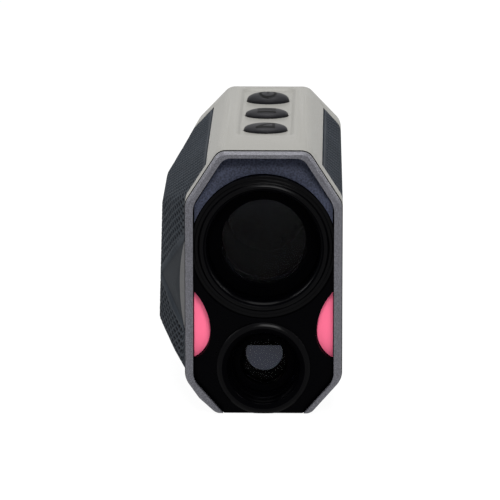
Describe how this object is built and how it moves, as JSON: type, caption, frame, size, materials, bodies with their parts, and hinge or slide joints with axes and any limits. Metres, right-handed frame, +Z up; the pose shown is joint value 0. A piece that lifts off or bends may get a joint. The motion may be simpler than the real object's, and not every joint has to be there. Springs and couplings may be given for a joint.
{
  "type": "pocket laser rangefinder",
  "caption": "Pocket laser speed and range finder with a large viewing lens above a small laser lens, rubber grips, top keys and a rear eyepiece.",
  "frame": {"origin": "centre of the tripod socket's mouth, on the flat base", "axes": "+Z up, -Y the way the lenses look, +X to the right of someone facing the lenses"},
  "size_m": [0.05, 0.108, 0.0731],
  "materials": {
    "shell_paint": "satin",
    "rim_paint": "satin",
    "grip_rubber": "matte",
    "cover_plastic": "matte",
    "block_plastic": "gloss",
    "brow_plastic": "crinkle",
    "accent_plastic": "satin",
    "anodised_black": "satin",
    "lens_glass": "coated",
    "window_glass": "gloss",
    "key_rubber": "satin",
    "soft_rubber": "matte",
    "board_laminate": "satin",
    "part_plastic": "matte",
    "flex_film": "satin",
    "bright_steel": "satin",
    "cell_wrap": "gloss",
    "insert_brass": "satin"
  },
  "bodies": {
    "case": {"upper_shell": "shell_paint", "lower_shell": "shell_paint", "front_rim": "rim_paint", "grip_left": "grip_rubber", "grip_right": "grip_rubber", "rear_cover": "cover_plastic", "lens_block": "block_plastic", "battery_tray": "block_plastic", "brow_plate": "brow_plastic", "accent_left": "accent_plastic", "accent_right": "accent_plastic", "objective_bezel": "anodised_black", "laser_bezel": "anodised_black", "objective_barrel": "anodised_black", "objective_retainer": "anodised_black", "laser_barrel": "anodised_black", "laser_retainer": "anodised_black", "laser_stop": "anodised_black", "eyepiece_barrel": "anodised_black", "prism_case": "anodised_black", "objective_crown_lens": "lens_glass", "objective_flint_lens": "lens_glass", "laser_lens": "lens_glass", "roof_prism": "lens_glass", "half_prism": "lens_glass", "reticle_display": "lens_glass", "laser_window": "window_glass", "eyepiece_seal": "soft_rubber", "laser_board": "board_laminate", "receiver_board": "board_laminate", "key_board": "board_laminate", "main_board": "board_laminate", "board_components": "part_plastic", "key_switches": "part_plastic", "flex_cable": "flex_film", "ring_clip": "bright_steel", "hinge_pin": "bright_steel", "base_screws": "bright_steel", "rear_screws": "bright_steel", "battery_spring": "bright_steel", "spring_plate": "bright_steel", "laser_diode": "bright_steel", "receiver_diode": "bright_steel", "lanyard_lug": "bright_steel", "battery_cell": "cell_wrap", "tripod_insert": "insert_brass"},
    "power_key": {"power_key": "key_rubber"},
    "mode_key": {"mode_key": "key_rubber"},
    "slope_key": {"slope_key": "key_rubber"},
    "focus_ring": {"dioptre_ring": "anodised_black", "eyecup": "soft_rubber"},
    "focus_cell": {"eyepiece_cell": "anodised_black", "focus_pin": "bright_steel", "field_lens": "lens_glass", "eye_lens": "lens_glass"},
    "door": {"battery_door": "cover_plastic", "door_contact": "bright_steel"}
  },
  "joints": [
    {"name": "power_press", "type": "slide", "parent": "case", "child": "power_key", "axis": [0, 0, -1], "range_m": [0, 0.0005], "stiffness_N_per_m": 600},
    {"name": "mode_press", "type": "slide", "parent": "case", "child": "mode_key", "axis": [0, 0, -1], "range_m": [0, 0.0005], "stiffness_N_per_m": 600},
    {"name": "slope_press", "type": "slide", "parent": "case", "child": "slope_key", "axis": [0, 0, -1], "range_m": [0, 0.0005], "stiffness_N_per_m": 600},
    {"name": "dioptre_turn", "type": "hinge", "parent": "case", "child": "focus_ring", "pos_m": [0, 0.0536, 0.0454], "axis": [0, 1, 0], "range_deg": [-120, 120]},
    {"name": "eyepiece_focus", "type": "slide", "parent": "case", "child": "focus_cell", "axis": [0, 1, 0], "range_m": [-0.0012, 0.0012]},
    {"name": "battery_door_swing", "type": "hinge", "parent": "case", "child": "door", "pos_m": [0.0114, 0.0477, 0.0144], "axis": [0, 0, -1], "range_deg": [0, 110]}
  ],
  "couplings": [
    {"joint": "eyepiece_focus", "follows": "dioptre_turn", "m_per_rad": 0.00057}
  ]
}
